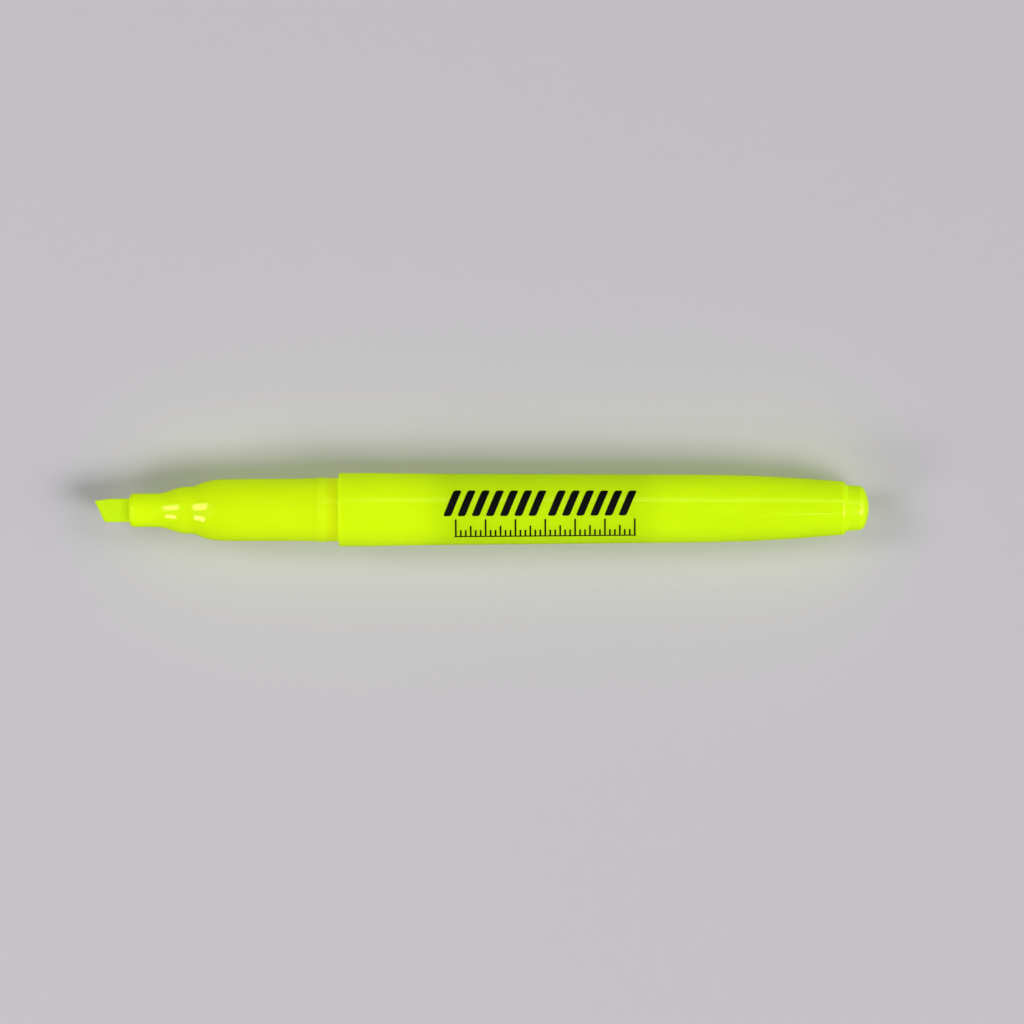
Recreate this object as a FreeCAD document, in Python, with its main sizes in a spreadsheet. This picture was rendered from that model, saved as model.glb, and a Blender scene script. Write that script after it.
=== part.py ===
# Highlighter pen: barrel, front section, chisel nib, ink reservoir, end plug
# and a pull-off cap with a pocket clip.
#
# Frame: +Z up, the pen lies on a table with its axis along X, the nib towards
# -X and the end plug towards +X. The origin is the middle of the whole
# object's underside, on the table.
#
# Every body is drawn in its own local frame, with the pen's axis on local X.
# The pen's bodies have local x = 0 at the barrel's front face (the shoulder
# that the cap closes against). The cap's two bodies have local x = 0 at the
# cap's mouth, and the cap runs towards -X.

import FreeCAD, Part
import Sketcher
import os

V = FreeCAD.Vector
doc = FreeCAD.newDocument("highlighter")

# ---------------------------------------------------------------- dimensions
# Millimetres and degrees. "len" and "at" values that lie ahead of the
# shoulder (towards the nib) are stored as positive distances.
DIMS = [
    # placement of the pen and the cap in the object's frame
    ("pen_x", "19.825", "barrel front face from the origin, along X"),
    ("pen_y", "1.4", "pen axis from the origin, along Y"),
    ("pen_z", "6.0", "pen axis above the table"),
    ("cap_x", "-56.175", "cap mouth from the origin, along X, cap off"),
    ("cap_roll", "117.9", "turn of the clip about X, until it meets the table"),
    # barrel, outside
    ("barrel_band_rad", "6.0", "shoulder band radius"),
    ("barrel_edge_fil", "0.25", "rounding of the front edge"),
    ("barrel_band_end", "5.35", "end of the shoulder band"),
    ("barrel_step_at", "12.5", "end of the first taper"),
    ("barrel_step_rad", "5.86", "radius there"),
    ("barrel_body_end", "60.0", "end of the slow taper"),
    ("barrel_body_rad", "5.52", "radius there"),
    ("barrel_tail_at", "81.7", "end of the curved tail"),
    ("barrel_tail_rad", "4.41", "radius there"),
    ("barrel_len", "82.8", "rear face"),
    ("barrel_rear_rad", "3.75", "outer radius of the rear face"),
    # barrel, inside
    ("barrel_mouth_bore", "4.9", "bore that takes the front section"),
    ("barrel_mouth_deep", "9.0", "depth of that bore"),
    ("barrel_bore_rad", "4.7", "main bore at its front end"),
    ("barrel_bore_two", "4.3", "main bore where the tail starts"),
    ("barrel_bore_mid", "62.0", "where the tail of the bore starts"),
    ("barrel_bore_tail", "3.5", "main bore at its rear end"),
    ("barrel_bore_end", "76.0", "rear end of the main bore"),
    ("barrel_rear_bore", "3.0", "bore that takes the end plug"),
    # centring ribs inside the barrel
    ("rib_start", "12.0", "front end of the ribs"),
    ("rib_end", "72.5", "rear end of the ribs"),
    ("rib_tip_rad", "3.46", "radius of the ribs' inner edges"),
    ("rib_root_rad", "4.9", "radius that the ribs are drawn to, in the wall"),
    ("rib_tail_rad", "4.2", "the same, at the rear end"),
    ("rib_thick", "0.7", "rib thickness"),
    # front section, outside
    ("nose_tip_at", "34.15", "nose mouth ahead of the shoulder"),
    ("nose_rad", "2.7", "nose radius"),
    ("nose_fil", "0.8", "rounding of the nose mouth"),
    ("nose_bore_rad", "1.4", "pilot bore that the nib's hole is cut over"),
    ("nose_end", "30.4", "end of the straight nose"),
    ("flare_mid_at", "27.7", "where the first flare turns from hollow to round"),
    ("flare_mid_rad", "3.1", "radius there"),
    ("collar_at", "25.4", "front of the short collar"),
    ("collar_rad", "3.78", "collar radius at its front"),
    ("collar_end", "24.1", "rear of the short collar"),
    ("collar_end_rad", "3.8", "collar radius at its rear"),
    ("flare_end", "19.6", "end of the second flare"),
    ("flare_end_rad", "4.98", "radius there"),
    ("seat_at", "15.0", "where the long seat starts"),
    ("seat_rad", "5.08", "radius there"),
    ("seat_end", "4.0", "end of the long seat"),
    ("seat_end_rad", "5.16", "radius there"),
    ("bead_at", "2.9", "crest of the cap bead"),
    ("bead_rad", "5.28", "radius of the crest"),
    ("bead_end", "1.9", "rear of the bead"),
    ("neck_rad", "5.2", "neck radius against the shoulder"),
    ("spigot_rad", "4.87", "spigot that presses into the barrel"),
    ("spigot_len", "8.6", "spigot length"),
    # front section, inside
    ("front_bore_rad", "3.7", "bore round the reservoir"),
    ("front_bore_at", "15.5", "front end of that bore"),
    ("front_cone_at", "21.5", "front end of the cone"),
    ("front_cone_rad", "2.55", "bore radius behind the nib guide"),
    # nib
    ("nib_wide", "3.82", "width of the nib"),
    ("nib_thick", "3.1", "thickness of the nib"),
    ("nib_round", "0.45", "rounding of the nib's long edges"),
    ("nib_tip_at", "39.85", "foremost corner, ahead of the shoulder"),
    ("nib_tail_at", "9.0", "tail end, ahead of the shoulder"),
    ("nib_heel_at", "38.2", "rearmost corner of the slanted writing edge"),
    ("nib_facet_at", "35.55", "where the wedge's two facets start"),
    ("nib_land", "0.35", "half the wedge's thickness at its foremost corner"),
    ("nib_slot_wide", "3.9", "width of the nib's hole"),
    ("nib_slot_thick", "3.18", "thickness of the nib's hole"),
    ("nib_tail_cut", "0.7", "chamfer on the tail"),
    # reservoir
    ("core_rad", "3.15", "fibre core radius"),
    ("core_at", "13.5", "front end ahead of the shoulder"),
    ("core_end", "71.5", "rear end behind the shoulder"),
    ("core_slot_end", "8.6", "bottom of the nib's hole, ahead"),
    ("wrap_in_rad", "3.2", "film sleeve, inside"),
    ("wrap_out_rad", "3.4", "film sleeve, outside"),
    ("wrap_over", "0.4", "sleeve past each end of the core"),
    # end plug
    ("plug_spigot_rad", "2.97", "plug spigot radius"),
    ("plug_start", "76.6", "front end of the spigot"),
    ("plug_head_rad", "3.74", "button radius at its base"),
    ("plug_head_rad_two", "3.62", "button radius before its edge"),
    ("plug_edge_at", "84.85", "where the button's edge starts to round"),
    ("plug_face_rad", "2.2", "where the edge meets the flat end face"),
    ("plug_end", "86.35", "the end face"),
    ("plug_hollow_rad", "2.1", "hollow of the spigot"),
    ("plug_hollow_end", "84.9", "bottom of that hollow"),
    # cap shell, outside
    ("cap_len", "50.0", "cap length"),
    ("cap_collar_rad", "6.0", "mouth collar radius"),
    ("cap_edge_fil", "0.22", "rounding of the mouth's outer edge"),
    ("cap_collar_len", "10.8", "mouth collar length"),
    ("cap_step_rad", "5.68", "radius behind the collar's step"),
    ("cap_body_end", "45.5", "end of the taper"),
    ("cap_body_rad", "5.05", "radius there"),
    ("cap_end_rad", "3.4", "where the rounded end meets the end face"),
    # cap shell, inside
    ("cap_bore_rad", "5.42", "bore over the seat and the bead"),
    ("cap_bore_end", "19.8", "end of that bore"),
    ("cap_cone_end", "24.0", "end of the cone"),
    ("cap_inner_rad", "4.33", "bore that holds the inner cap"),
    ("cap_inner_end", "47.2", "bottom of the cap"),
    # inner cap
    ("cup_out_rad", "4.3", "inner cap, outside"),
    ("cup_mouth", "29.9", "inner cap mouth"),
    ("cup_bore_rad", "2.95", "inner cap bore"),
    ("cup_bore_end", "43.6", "bottom of the bore"),
    ("cup_end", "46.6", "closed end of the inner cap"),
    ("cup_skirt_rad", "3.5", "inner cap's waist, outside"),
    ("cup_land", "3.2", "length of each fitting land"),
    ("cup_lead", "3.3", "lead-in radius at the inner cap's mouth"),
    # pocket clip
    ("clip_wide", "4.2", "clip width"),
    ("clip_top", "8.85", "clip outer face from the cap's axis, at the root"),
    ("clip_top_two", "8.6", "the same, near the free end"),
    ("clip_under", "7.5", "clip underside from the cap's axis"),
    ("clip_tip_at", "12.6", "free end from the mouth"),
    ("clip_root_at", "43.6", "mouth side of the root"),
    ("clip_knee_at", "47.2", "where the outer face turns down"),
    ("clip_back_at", "49.2", "closed-end side of the root"),
    ("clip_back_rad", "6.7", "height of that corner"),
    ("clip_foot_rad", "3.2", "depth that the root is drawn to"),
    ("clip_bump_at", "15.4", "grip bump from the mouth"),
    ("clip_bump_rad", "6.05", "grip bump from the cap's axis"),
]

dims = doc.addObject("Spreadsheet::Sheet", "dims")
dims.set("A1", "name")
dims.set("B1", "value")
dims.set("C1", "meaning")
VAL = {}
for row, (alias, value, meaning) in enumerate(DIMS, start=2):
    dims.set("A%d" % row, "'" + alias)
    dims.set("B%d" % row, value)
    dims.setAlias("B%d" % row, alias)
    dims.set("C%d" % row, "'" + meaning)
    VAL[alias] = float(value)
doc.recompute()

AHEAD, BEHIND = -1, 1


def num(expression):
    """Value of an expression in the sheet's aliases, for first positions."""
    total = expression
    for alias in sorted(VAL, key=len, reverse=True):
        total = total.replace("dims." + alias, "(%r)" % VAL[alias])
    # only sums, differences and quotients of cells are used
    return parse_sum(total)


def parse_sum(text):
    """Sum, difference, product and quotient of plain numbers, no nesting but
    the brackets that num() puts round each cell."""
    text = text.replace(" ", "").replace("(-", "(~").replace("(", "").replace(")", "")
    terms, sign, current = [], 1.0, ""
    for char in text + "+":
        if char in "+-" and current and current[-1] not in "*/e":
            product, op, piece = 1.0, "*", ""
            for c in current + "*":
                if c in "*/":
                    value = float(piece.replace("~", "-"))
                    product = product * value if op == "*" else product / value
                    op, piece = c, ""
                else:
                    piece += c
            terms.append(sign * product)
            sign, current = (1.0 if char == "+" else -1.0), ""
        elif char in "+-" and not current:
            sign = sign if char == "+" else -sign
        else:
            current += char
    return sum(terms)


def plane(body, role):
    return [f for f in body.Origin.OriginFeatures if f.Role == role][0]


def new_body(label, origin_x="dims.pen_x", roll=None):
    """A body on the pen's axis, with its local x = 0 at origin_x."""
    body = doc.addObject("PartDesign::Body", label)
    body.Label = label
    body.setExpression("Placement.Base.x", origin_x)
    body.setExpression("Placement.Base.y", "dims.pen_y")
    body.setExpression("Placement.Base.z", "dims.pen_z")
    if roll:
        body.Placement = FreeCAD.Placement(V(0, 0, 0), FreeCAD.Rotation(V(1, 0, 0), 30))
        body.setExpression("Placement.Rotation.Angle", roll)
    return body


def sketch_on(body, name, role):
    sk = body.newObject("Sketcher::SketchObject", name)
    sk.AttachmentSupport = [(plane(body, role), "")]
    sk.MapMode = "FlatFace"
    return sk


def pin_value(sk, axis, geo, pos, expression):
    """Holds one coordinate of a point, by an expression in the sheet."""
    value = num(expression)
    kind = "DistanceX" if axis == 0 else "DistanceY"
    if abs(value) < 1e-9:
        sk.addConstraint(Sketcher.Constraint("PointOnObject", geo, pos, -2 if axis == 0 else -1))
        return
    if value > 0:
        index = sk.addConstraint(Sketcher.Constraint(kind, -1, 1, geo, pos, value))
        sk.setExpression("Constraints[%d]" % index, expression)
    else:
        index = sk.addConstraint(Sketcher.Constraint(kind, geo, pos, -1, 1, -value))
        sk.setExpression("Constraints[%d]" % index, "-(%s)" % expression)


def loop(sk, points):
    """A closed profile. Each point is (x, y, how): x and y are expressions, and
    how says how the segment that leaves the point runs: "line", or
    ("bulge", b) for an arc whose middle stands b times its chord off the
    chord, to its left."""
    xy = [(num(p[0]), num(p[1])) for p in points]
    n = len(points)
    ids = []
    for i, (x, y) in enumerate(xy):
        u, w = xy[(i + 1) % n]
        how = points[i][2]
        a, b = V(x, y, 0), V(u, w, 0)
        if how == "line":
            ids.append(sk.addGeometry(Part.LineSegment(a, b), False))
            continue
        chord = b - a
        left = V(-chord.y, chord.x, 0)
        middle = (a + b) * 0.5 + left * how[1]
        curve = Part.Arc(a, middle, b)
        ids.append(sk.addGeometry(curve, False))
    ends = []
    for i, g in enumerate(ids):
        start = sk.getPoint(g, 1)
        forward = (start - V(xy[i][0], xy[i][1], 0)).Length < 1e-6
        ends.append((1, 2) if forward else (2, 1))
    for i, g in enumerate(ids):
        j = (i + 1) % n
        sk.addConstraint(Sketcher.Constraint("Coincident", g, ends[i][1], ids[j], ends[j][0]))
    for i, g in enumerate(ids):
        pin_value(sk, 0, g, ends[i][0], points[i][0])
        pin_value(sk, 1, g, ends[i][0], points[i][1])
    for i, g in enumerate(ids):
        how = points[i][2]
        if how == "line":
            continue
        # the arc's radius follows from its chord and its bulge
        chord = ((xy[(i + 1) % n][0] - xy[i][0]) ** 2 + (xy[(i + 1) % n][1] - xy[i][1]) ** 2) ** 0.5
        k = abs(how[1])
        radius = chord * (0.25 + k * k) / (2 * k)
        sk.addConstraint(Sketcher.Constraint("Radius", g, radius))
    return ids


def revolve(body, sk, name):
    rev = body.newObject("PartDesign::Revolution", name)
    rev.Profile = sk
    rev.ReferenceAxis = (sk, ["H_Axis"])
    rev.Angle = 360
    sk.Visibility = False
    doc.recompute()
    return rev


def L(alias):
    return "dims." + alias


def A(alias):
    """Ahead of the shoulder, towards the nib."""
    return "-dims." + alias


# -------------------------------------------------------------------- barrel
barrel = new_body("barrel")
sk = sketch_on(barrel, "barrel_profile", "XZ_Plane")
loop(sk, [
    ("0", L("barrel_mouth_bore"), "line"),
    ("0", "dims.barrel_band_rad - dims.barrel_edge_fil", ("bulge", 0.2071)),
    (L("barrel_edge_fil"), L("barrel_band_rad"), "line"),
    (L("barrel_band_end"), L("barrel_band_rad"), "line"),
    (L("barrel_step_at"), L("barrel_step_rad"), "line"),
    (L("barrel_body_end"), L("barrel_body_rad"), ("bulge", 0.0110)),
    (L("barrel_tail_at"), L("barrel_tail_rad"), ("bulge", 0.12)),
    (L("barrel_len"), L("barrel_rear_rad"), "line"),
    (L("barrel_len"), L("barrel_rear_bore"), "line"),
    (L("barrel_bore_end"), L("barrel_rear_bore"), "line"),
    (L("barrel_bore_end"), L("barrel_bore_tail"), "line"),
    (L("barrel_bore_mid"), L("barrel_bore_two"), "line"),
    (L("barrel_mouth_deep"), L("barrel_bore_rad"), "line"),
    (L("barrel_mouth_deep"), L("barrel_mouth_bore"), "line"),
])
revolve(barrel, sk, "barrel_shell")
shell_volume = barrel.Shape.Volume

rib = sketch_on(barrel, "rib_profile", "XZ_Plane")
loop(rib, [
    (L("rib_start"), L("rib_tip_rad"), "line"),
    (L("rib_start"), L("rib_root_rad"), "line"),
    (L("barrel_bore_mid"), "dims.barrel_bore_two + 0.2", "line"),
    (L("rib_end"), "dims.rib_tail_rad - 0.2", "line"),
    (L("rib_end"), L("rib_tip_rad"), "line"),
])
rib_pad = barrel.newObject("PartDesign::Pad", "rib")
rib_pad.Profile = rib
rib_pad.SideType = "Symmetric"
rib_pad.setExpression("Length", L("rib_thick"))
rib.Visibility = False
doc.recompute()
ribs = barrel.newObject("PartDesign::PolarPattern", "ribs")
ribs.Originals = [rib_pad]
ribs.Axis = (sk, ["H_Axis"])
ribs.Angle = 360
ribs.Occurrences = 6
barrel.Tip = ribs
doc.recompute()
print("barrel shell %.1f mm3, with ribs %.1f mm3" % (shell_volume, barrel.Shape.Volume))

# ------------------------------------------------------------- front section
front = new_body("front_section")
sk = sketch_on(front, "front_profile", "XZ_Plane")
loop(sk, [
    (A("nose_tip_at"), L("nose_bore_rad"), "line"),
    (A("nose_tip_at"), "dims.nose_rad - dims.nose_fil", ("bulge", 0.2071)),
    ("dims.nose_fil - dims.nose_tip_at", L("nose_rad"), "line"),
    (A("nose_end"), L("nose_rad"), ("bulge", -0.045)),
    (A("flare_mid_at"), L("flare_mid_rad"), ("bulge", 0.065)),
    (A("collar_at"), L("collar_rad"), "line"),
    (A("collar_end"), L("collar_end_rad"), ("bulge", 0.075)),
    (A("flare_end"), L("flare_end_rad"), "line"),
    (A("seat_at"), L("seat_rad"), "line"),
    (A("seat_end"), L("seat_end_rad"), ("bulge", 0.08)),
    (A("bead_at"), L("bead_rad"), ("bulge", 0.08)),
    (A("bead_end"), L("neck_rad"), "line"),
    ("0", L("neck_rad"), "line"),
    ("0", L("spigot_rad"), "line"),
    (L("spigot_len"), L("spigot_rad"), "line"),
    (L("spigot_len"), L("front_bore_rad"), "line"),
    (A("front_bore_at"), L("front_bore_rad"), "line"),
    (A("front_cone_at"), L("front_cone_rad"), "line"),
    (A("front_cone_at"), L("nose_bore_rad"), "line"),
])
revolve(front, sk, "front_shell")
before = front.Shape.Volume
slot = sketch_on(front, "nib_hole", "YZ_Plane")
slot.setExpression("AttachmentOffset.Base.z", "-dims.front_cone_at - 1")


def rounded_rect(sk, wide, thick, round_by):
    """A rectangle with cut corners, centred on the axis."""
    w, h = "%s / 2" % wide, "%s / 2" % thick
    r = round_by
    loop(sk, [
        ("-" + w + " + " + r, "-" + h, "line"),
        (w + " - " + r, "-" + h, ("bulge", -0.2071)),
        (w, "-" + h + " + " + r, "line"),
        (w, h + " - " + r, ("bulge", -0.2071)),
        (w + " - " + r, h, "line"),
        ("-" + w + " + " + r, h, ("bulge", -0.2071)),
        ("-" + w, h + " - " + r, "line"),
        ("-" + w, "-" + h + " + " + r, ("bulge", -0.2071)),
    ])


rounded_rect(slot, "dims.nib_slot_wide", "dims.nib_slot_thick", "dims.nib_round")
hole = front.newObject("PartDesign::Pocket", "nib_guide")
hole.Profile = slot
hole.Type = "ThroughAll"
hole.SideType = "Symmetric"
slot.Visibility = False
doc.recompute()
print("front section %.1f mm3, nib hole takes %.1f mm3" % (front.Shape.Volume, before - front.Shape.Volume))
assert before - front.Shape.Volume > 20.0

# ----------------------------------------------------------------------- nib
nib = new_body("chisel_nib")
sk = sketch_on(nib, "nib_section", "YZ_Plane")
sk.setExpression("AttachmentOffset.Base.z", "-dims.nib_tip_at - 1")
rounded_rect(sk, "dims.nib_wide", "dims.nib_thick", "dims.nib_round")
pad = nib.newObject("PartDesign::Pad", "nib_bar")
pad.Profile = sk
pad.setExpression("Length", "dims.nib_tip_at + 1 - dims.nib_tail_at")
sk.Visibility = False
doc.recompute()
if nib.Shape.BoundBox.XMin > -VAL["nib_tip_at"] + VAL["pen_x"]:
    pad.Reversed = True
    doc.recompute()
before = nib.Shape.Volume

# The wedge: two facets, above and below, that meet ahead of the tip. The tail
# has a short bevel above and below, for pushing it into the reservoir.
wedge = sketch_on(nib, "wedge_profile", "XZ_Plane")
loop(wedge, [
    ("-dims.nib_tip_at", L("nib_land"), "line"),
    ("-dims.nib_facet_at", "dims.nib_thick / 2", "line"),
    ("-dims.nib_facet_at", "dims.nib_thick / 2 + 1", "line"),
    ("-dims.nib_tip_at - 3", "dims.nib_thick / 2 + 1", "line"),
    ("-dims.nib_tip_at - 3", "-dims.nib_thick / 2 - 1", "line"),
    ("-dims.nib_facet_at", "-dims.nib_thick / 2 - 1", "line"),
    ("-dims.nib_facet_at", "-dims.nib_thick / 2", "line"),
    ("-dims.nib_tip_at", "-dims.nib_land", "line"),
])
loop(wedge, [
    ("-dims.nib_tail_at", "dims.nib_thick / 2 - dims.nib_tail_cut", "line"),
    ("-dims.nib_tail_at - dims.nib_tail_cut", "dims.nib_thick / 2", "line"),
    ("-dims.nib_tail_at - dims.nib_tail_cut", "dims.nib_thick / 2 + 1", "line"),
    ("-dims.nib_tail_at + 1", "dims.nib_thick / 2 + 1", "line"),
    ("-dims.nib_tail_at + 1", "-dims.nib_thick / 2 - 1", "line"),
    ("-dims.nib_tail_at - dims.nib_tail_cut", "-dims.nib_thick / 2 - 1", "line"),
    ("-dims.nib_tail_at - dims.nib_tail_cut", "-dims.nib_thick / 2", "line"),
    ("-dims.nib_tail_at", "-dims.nib_thick / 2 + dims.nib_tail_cut", "line"),
])
cut = nib.newObject("PartDesign::Pocket", "wedge")
cut.Profile = wedge
cut.Type = "ThroughAll"
cut.SideType = "Symmetric"
wedge.Visibility = False
doc.recompute()
wedge_takes = before - nib.Shape.Volume
assert wedge_takes > 5.0

# The slanted writing edge: the corner on the -Y side is cut back.
slant = sketch_on(nib, "slant_profile", "XY_Plane")
loop(slant, [
    ("-dims.nib_tip_at", "dims.nib_wide / 2", "line"),
    ("-dims.nib_heel_at", "-dims.nib_wide / 2", "line"),
    ("-dims.nib_heel_at", "-dims.nib_wide / 2 - 1", "line"),
    ("-dims.nib_tip_at - 3", "-dims.nib_wide / 2 - 1", "line"),
    ("-dims.nib_tip_at - 3", "dims.nib_wide / 2", "line"),
])
slice_off = nib.newObject("PartDesign::Pocket", "slant")
slice_off.Profile = slant
slice_off.Type = "ThroughAll"
slice_off.SideType = "Symmetric"
slant.Visibility = False
doc.recompute()
slant_takes = before - wedge_takes - nib.Shape.Volume
print("nib %.1f mm3, wedge takes %.1f mm3, slant takes %.1f mm3" % (nib.Shape.Volume, wedge_takes, slant_takes))
assert slant_takes > 1.0

# ----------------------------------------------------------------- reservoir
core = new_body("reservoir_core")
sk = sketch_on(core, "core_profile", "XZ_Plane")
loop(sk, [
    (A("core_at"), "0", "line"),
    (A("core_at"), L("core_rad"), "line"),
    (L("core_end"), L("core_rad"), "line"),
    (L("core_end"), "0", "line"),
])
revolve(core, sk, "core_rod")
before = core.Shape.Volume
hole_sk = sketch_on(core, "nib_socket", "YZ_Plane")
hole_sk.setExpression("AttachmentOffset.Base.z", "-dims.core_at")
rounded_rect(hole_sk, "dims.nib_slot_wide", "dims.nib_slot_thick", "dims.nib_round")
hole = core.newObject("PartDesign::Pocket", "socket")
hole.Profile = hole_sk
hole.setExpression("Length", "dims.core_at - dims.core_slot_end")
hole_sk.Visibility = False
doc.recompute()
if before - core.Shape.Volume < 10.0:
    hole.Reversed = True
    doc.recompute()
print("core %.1f mm3, socket takes %.1f mm3" % (core.Shape.Volume, before - core.Shape.Volume))
assert before - core.Shape.Volume > 10.0

wrap = new_body("reservoir_wrap")
sk = sketch_on(wrap, "wrap_profile", "XZ_Plane")
loop(sk, [
    ("-dims.core_at - dims.wrap_over", L("wrap_in_rad"), "line"),
    ("-dims.core_at - dims.wrap_over", L("wrap_out_rad"), "line"),
    ("dims.core_end + dims.wrap_over", L("wrap_out_rad"), "line"),
    ("dims.core_end + dims.wrap_over", L("wrap_in_rad"), "line"),
])
revolve(wrap, sk, "wrap_tube")

# ------------------------------------------------------------------ end plug
plug = new_body("end_plug")
sk = sketch_on(plug, "plug_profile", "XZ_Plane")
loop(sk, [
    (L("plug_start"), L("plug_hollow_rad"), "line"),
    (L("plug_start"), "dims.plug_spigot_rad - 0.35", "line"),
    ("dims.plug_start + 0.5", L("plug_spigot_rad"), "line"),
    (L("barrel_len"), L("plug_spigot_rad"), "line"),
    (L("barrel_len"), L("plug_head_rad"), "line"),
    (L("plug_edge_at"), L("plug_head_rad_two"), ("bulge", 0.19)),
    (L("plug_end"), L("plug_face_rad"), "line"),
    (L("plug_end"), "0", "line"),
    (L("plug_hollow_end"), "0", "line"),
    (L("plug_hollow_end"), "dims.plug_hollow_rad - 0.2", "line"),
])
revolve(plug, sk, "plug_shell")

# ----------------------------------------------------------------- cap shell
cap = new_body("cap_shell", "dims.cap_x", "dims.cap_roll")
sk = sketch_on(cap, "cap_profile", "XZ_Plane")
loop(sk, [
    ("0", L("cap_bore_rad"), "line"),
    ("-dims.cap_bore_end", L("cap_bore_rad"), "line"),
    ("-dims.cap_cone_end", L("cap_inner_rad"), "line"),
    ("-dims.cap_inner_end", L("cap_inner_rad"), "line"),
    ("-dims.cap_inner_end", "0", "line"),
    ("-dims.cap_len", "0", "line"),
    ("-dims.cap_len", L("cap_end_rad"), ("bulge", 0.2)),
    ("-dims.cap_body_end", L("cap_body_rad"), "line"),
    ("-dims.cap_collar_len - 0.25", L("cap_step_rad"), "line"),
    ("-dims.cap_collar_len", L("cap_collar_rad"), "line"),
    ("-dims.cap_edge_fil", L("cap_collar_rad"), ("bulge", 0.2071)),
    ("0", "dims.cap_collar_rad - dims.cap_edge_fil", "line"),
])
revolve(cap, sk, "cap_tube")
before = cap.Shape.Volume
clip = sketch_on(cap, "clip_profile", "XZ_Plane")
loop(clip, [
    ("-dims.clip_back_at + 0.4", L("clip_foot_rad"), "line"),
    ("-dims.clip_back_at", L("clip_back_rad"), ("bulge", 0.19)),
    ("-dims.clip_knee_at", L("clip_top"), "line"),
    ("-dims.clip_tip_at - 1.4", L("clip_top_two"), ("bulge", 0.12)),
    ("-dims.clip_tip_at", "dims.clip_under / 2 + dims.clip_top_two / 2", ("bulge", 0.12)),
    ("-dims.clip_tip_at - 1.0", "dims.clip_under - 0.55", "line"),
    ("-dims.clip_bump_at + 0.5", L("clip_bump_rad"), ("bulge", 0.2)),
    ("-dims.clip_bump_at - 0.5", L("clip_bump_rad"), "line"),
    ("-dims.clip_bump_at - 2.6", "dims.clip_under - 0.25", "line"),
    ("-dims.clip_root_at + 1.2", L("clip_under"), ("bulge", -0.2)),
    ("-dims.clip_root_at", "dims.clip_under - 1.2", "line"),
    ("-dims.clip_root_at", "dims.clip_foot_rad + 1.25", "line"),
    ("-dims.cap_inner_end - 0.3", "dims.clip_foot_rad + 1.25", "line"),
    ("-dims.cap_inner_end - 0.3", L("clip_foot_rad"), "line"),
])
clip_pad = cap.newObject("PartDesign::Pad", "clip")
clip_pad.Profile = clip
clip_pad.SideType = "Symmetric"
clip_pad.setExpression("Length", L("clip_wide"))
clip.Visibility = False
doc.recompute()
print("cap %.1f mm3, clip adds %.1f mm3" % (cap.Shape.Volume, cap.Shape.Volume - before))
assert cap.Shape.Volume - before > 100.0

# ----------------------------------------------------------------- inner cap
cup = new_body("inner_cap", "dims.cap_x")
sk = sketch_on(cup, "cup_profile", "XZ_Plane")
loop(sk, [
    ("-dims.cup_mouth", L("cup_lead"), "line"),
    ("-dims.cup_mouth - 0.6", L("cup_bore_rad"), "line"),
    ("-dims.cup_bore_end", L("cup_bore_rad"), "line"),
    ("-dims.cup_bore_end", "0", "line"),
    ("-dims.cup_end", "0", "line"),
    ("-dims.cup_end", "dims.cup_out_rad - 0.4", "line"),
    ("-dims.cup_end + 0.4", L("cup_out_rad"), "line"),
    ("-dims.cup_end + dims.cup_land", L("cup_out_rad"), "line"),
    ("-dims.cup_end + dims.cup_land + 0.5", "dims.cup_skirt_rad + 0.1", "line"),
    ("-dims.cup_mouth - dims.cup_land - 0.5", "dims.cup_skirt_rad + 0.1", "line"),
    ("-dims.cup_mouth - dims.cup_land", L("cup_out_rad"), "line"),
    ("-dims.cup_mouth", L("cup_out_rad"), "line"),
])
revolve(cup, sk, "cup_shell")

# ------------------------------------------------------------ check and write
doc.recompute()
bad = [o.Name for o in doc.Objects if "Invalid" in o.State or "Error" in o.State]
if bad:
    raise RuntimeError("failed objects: %s" % bad)
NODES = [barrel, front, nib, core, wrap, plug, cap, cup]
for body in NODES:
    shape = body.Shape
    if shape.isNull() or not shape.isValid() or len(shape.Solids) != 1:
        raise RuntimeError("%s has a bad shape (%d solids)" % (body.Label, len(shape.Solids)))
os.makedirs("parts", exist_ok=True)
low, high = [1e9] * 3, [-1e9] * 3
for body in NODES:
    body.Shape.exportStep("parts/%s.step" % body.Label)
    box = body.Shape.optimalBoundingBox(False)
    print("%-15s x %8.3f %8.3f  y %7.3f %7.3f  z %7.3f %7.3f  %8.1f mm3" % (
        body.Label, box.XMin, box.XMax, box.YMin, box.YMax, box.ZMin, box.ZMax, body.Shape.Volume))
    for i, (a, b) in enumerate(((box.XMin, box.XMax), (box.YMin, box.YMax), (box.ZMin, box.ZMax))):
        low[i], high[i] = min(low[i], a), max(high[i], b)
print("whole: low %s high %s centre %s" % (
    [round(v, 4) for v in low], [round(v, 4) for v in high],
    [round((a + b) / 2, 4) for a, b in zip(low, high)]))
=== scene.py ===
import math

import bmesh
import bpy
import numpy as np
from mathutils import Matrix, Vector, noise


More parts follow.
